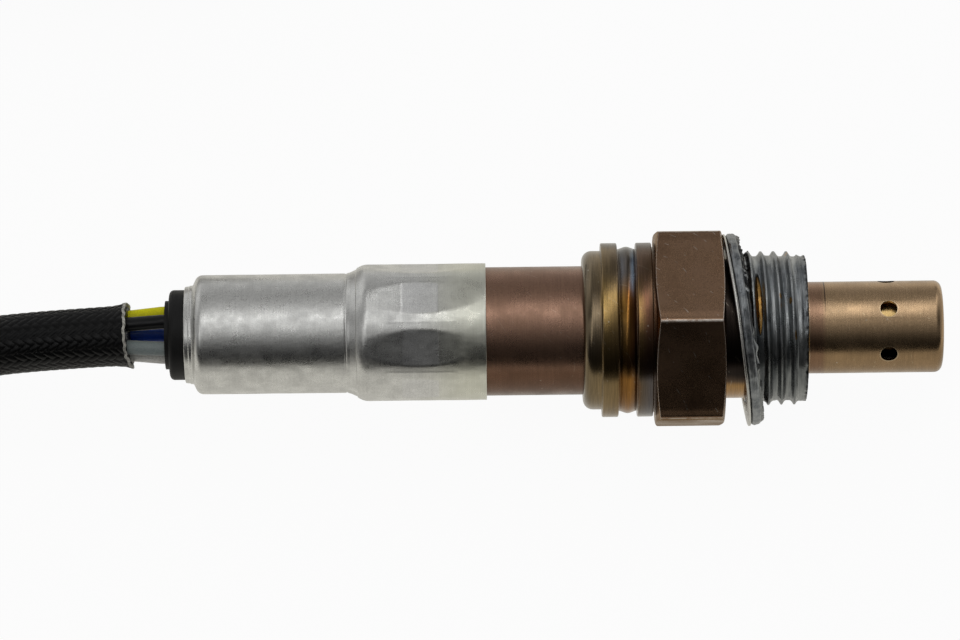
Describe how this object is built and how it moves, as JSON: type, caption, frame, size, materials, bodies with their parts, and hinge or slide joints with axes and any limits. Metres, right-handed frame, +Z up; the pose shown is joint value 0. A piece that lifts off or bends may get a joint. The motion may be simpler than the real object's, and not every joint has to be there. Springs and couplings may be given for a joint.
{
  "type": "oxygen sensor",
  "caption": "Threaded exhaust oxygen sensor with a hexagonal steel body, perforated protector tube, crimped rear cover and a sleeved lead coiled to a connector.",
  "frame": {"origin": "on the sensor's axis, in the plane of the hexagon's front face, which the gasket seats on", "axes": "+X runs along the sensor's axis to the probe tip, +Z is up, square to the hexagon's flat that the sensor lies on"},
  "size_m": [0.2082, 0.0913, 0.0226],
  "materials": {
    "shell_steel": "brown oxidised machined steel",
    "gasket_steel": "folded steel smeared with grey paste",
    "tinted_steel": "stainless steel with a golden brown heat tint",
    "bright_steel": "plain stainless steel",
    "brown_steel": "stainless steel with a brown heat tint",
    "cover_steel": "satin stainless steel",
    "zirconia": "fired zirconia",
    "alumina": "matte alumina",
    "talc": "pressed talc powder",
    "black_rubber": "moulded heat resistant rubber",
    "contact_metal": "plated spring alloy",
    "insulation_black": "smooth wire insulation",
    "insulation_yellow": "smooth wire insulation",
    "insulation_grey": "smooth wire insulation",
    "insulation_white": "smooth wire insulation",
    "insulation_blue": "smooth wire insulation",
    "braided_sleeve": "black braided glass fibre sleeve",
    "tie_nylon": "moulded nylon",
    "connector_plastic": "moulded plastic with a fine grain",
    "cap_plastic": "moulded plastic",
    "lock_plastic": "moulded plastic",
    "seal_silicone": "soft silicone"
  },
  "bodies": {
    "root": {"hex_body": "shell_steel", "gasket": "gasket_steel", "outer_protector": "tinted_steel", "inner_protector": "tinted_steel", "sensing_element": "zirconia", "element_cup": "bright_steel", "ceramic_holder": "alumina", "talc_packing": "talc", "ceramic_sleeve": "alumina", "packing_ring": "bright_steel", "inner_cover": "brown_steel", "outer_cover": "cover_steel", "grommet": "black_rubber", "wire_guide": "alumina", "contact_holder": "alumina", "contact_clip": "bright_steel", "contact_black": "contact_metal", "contact_yellow": "contact_metal", "contact_grey": "contact_metal", "contact_white": "contact_metal", "contact_blue": "contact_metal", "wire_black": "insulation_black", "wire_yellow": "insulation_yellow", "wire_grey": "insulation_grey", "wire_white": "insulation_white", "wire_blue": "insulation_blue", "lead_sleeve": "braided_sleeve", "lead_coil": "braided_sleeve", "coil_tie": "tie_nylon", "lead_tail": "braided_sleeve", "connector_housing": "connector_plastic", "connector_rear_cap": "cap_plastic", "mat_seal": "seal_silicone", "front_seal": "seal_silicone", "front_lock": "lock_plastic", "plug_wire_black": "insulation_black", "plug_wire_yellow": "insulation_yellow", "plug_wire_grey": "insulation_grey", "plug_wire_white": "insulation_white", "plug_wire_blue": "insulation_blue", "terminal_black": "contact_metal", "terminal_yellow": "contact_metal", "terminal_grey": "contact_metal", "terminal_white": "contact_metal", "terminal_blue": "contact_metal"}
  },
  "joints": []
}
